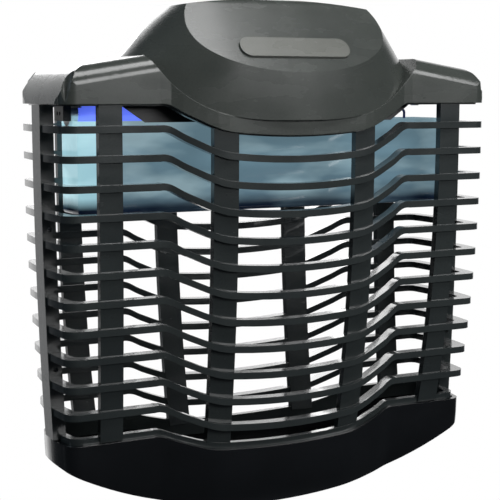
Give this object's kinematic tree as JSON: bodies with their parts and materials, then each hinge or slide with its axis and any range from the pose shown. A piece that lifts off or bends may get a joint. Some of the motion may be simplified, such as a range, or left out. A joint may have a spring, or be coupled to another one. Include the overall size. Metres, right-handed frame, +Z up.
{
  "type": "electric bug zapper",
  "caption": "Slim hanging insect killer: domed hood, dipping guard bars, hidden lamp and high-voltage grid, drop-down tray.",
  "frame": {"origin": "axis of the hanging bail at the middle of the hood's ridge, where the weight is carried", "axes": "+Z up, front faces -Y, +X to the right when seen from the front"},
  "size_m": [0.3112, 0.117, 0.333],
  "materials": {
    "hood": "fine grained moulded ABS, warm dark grey",
    "guard": "satin moulded plastic, charcoal",
    "tray": "glossy black moulded plastic",
    "badge": "smooth grey plastic, blank",
    "wire": "bright plated steel wire",
    "fastener": "zinc plated steel",
    "gland": "black rubber",
    "shroud": "smoky blue translucent plastic, glossy",
    "tube": "phosphor coated ultraviolet tube, lit violet blue",
    "lamp_metal": "drawn aluminium end caps",
    "lamp_contact": "plated contact pins",
    "holder": "black moulded plastic",
    "ceramic": "white moulded plastic",
    "grid": "bright drawn wire",
    "insulator": "cream ceramic filled plastic",
    "deck": "pressed steel, black enamel",
    "mirror": "polished reflector strip",
    "core": "stacked steel laminations",
    "coil": "yellow taped winding",
    "board": "green glass fibre board",
    "component": "blue dipped epoxy",
    "diode": "black moulded epoxy",
    "resistor": "beige lacquered body",
    "starter": "drawn aluminium can",
    "lead": "insulated wire"
  },
  "bodies": {
    "housing": {"hood_front_shell": "hood", "hood_rear_shell": "hood", "hood_screws": "fastener", "cage_screws": "fastener", "seam_screws": "fastener", "badge_plate": "badge", "cord_gland": "gland", "front_cage": "guard", "rear_cage": "guard", "lamp_shroud": "shroud", "uv_tube": "tube", "lamp_caps": "lamp_metal", "lamp_pins": "lamp_contact", "lamp_holder_left": "holder", "lamp_holder_right": "holder", "live_grid": "grid", "ground_grid": "grid", "grid_insulators": "insulator", "shroud_screws": "fastener", "bay_deck": "deck", "lamp_reflector": "mirror", "deck_screws": "fastener", "transformer_core": "core", "transformer_coil": "coil", "choke_core": "core", "choke_coil": "coil", "circuit_board": "board", "board_standoffs": "ceramic", "board_screws": "fastener", "capacitors": "component", "diodes": "diode", "resistors": "resistor", "fuse": "ceramic", "starter": "starter", "starter_socket": "ceramic", "terminal_block": "ceramic", "lamp_leads": "lead", "grid_leads": "lead", "supply_leads": "lead"},
    "tray": {"collection_tray": "tray"},
    "bail": {"hanger_bail": "wire"}
  },
  "joints": [
    {"name": "tray_drop", "type": "slide", "parent": "housing", "child": "tray", "axis": [0, 0, -1], "range_m": [0, 0.07]},
    {"name": "bail_swing", "type": "hinge", "parent": "housing", "child": "bail", "pos_m": [0, 0, 0], "axis": [1, 0, 0], "range_deg": [0, 118]}
  ]
}
